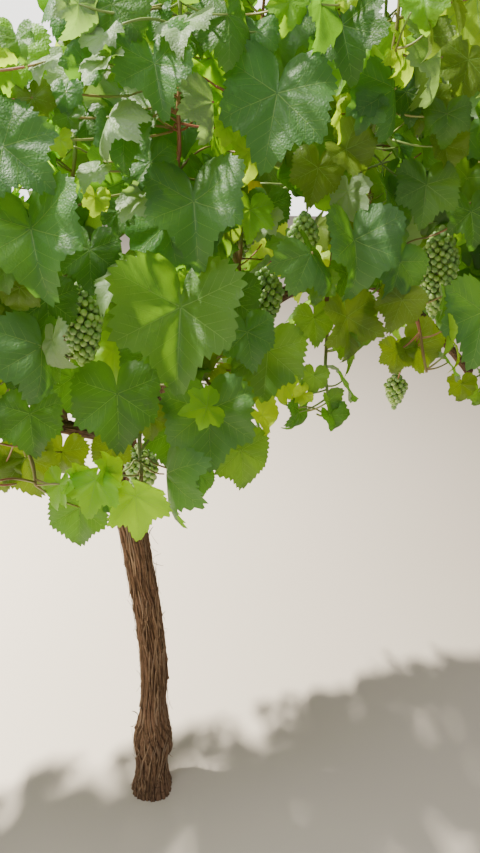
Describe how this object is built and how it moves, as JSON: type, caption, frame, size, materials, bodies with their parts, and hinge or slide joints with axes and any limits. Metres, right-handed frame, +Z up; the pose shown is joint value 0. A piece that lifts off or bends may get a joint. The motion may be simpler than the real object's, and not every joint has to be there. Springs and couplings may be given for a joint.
{
  "type": "grapevine",
  "caption": "Rooted grapevine trained on two arms: a slim flared trunk, arched arms with short spurs, and leafy masses with hanging bunches of grapes.",
  "frame": {"origin": "centre of the flat cut under the trunk, at ground level", "axes": "+Z up the trunk, +X along the vineyard row towards the picture's right, -Y towards the side that the picture shows"},
  "size_m": [1.6791, 0.6567, 1.7407],
  "materials": {
    "bark": "rough shaggy bark",
    "spur_wood": "year-old wood",
    "foliage": "leaves, green shoots and unripe berries"
  },
  "bodies": {
    "root": {"trunk": "bark", "left_arm_inner": "bark", "left_arm_outer": "bark", "right_arm_inner": "bark", "right_arm_outer": "bark", "left_spur_1": "spur_wood", "left_spur_2": "spur_wood", "left_spur_3": "spur_wood", "left_spur_4": "spur_wood", "left_spur_5": "spur_wood", "right_spur_1": "spur_wood", "right_spur_2": "spur_wood", "right_spur_3": "spur_wood", "right_spur_4": "spur_wood", "right_spur_5": "spur_wood", "foliage_front_1": "foliage", "foliage_front_2": "foliage", "foliage_front_3": "foliage", "foliage_front_4": "foliage", "foliage_front_5": "foliage", "foliage_back_1": "foliage", "foliage_back_2": "foliage", "foliage_back_3": "foliage", "foliage_back_4": "foliage", "foliage_back_5": "foliage"}
  },
  "joints": []
}
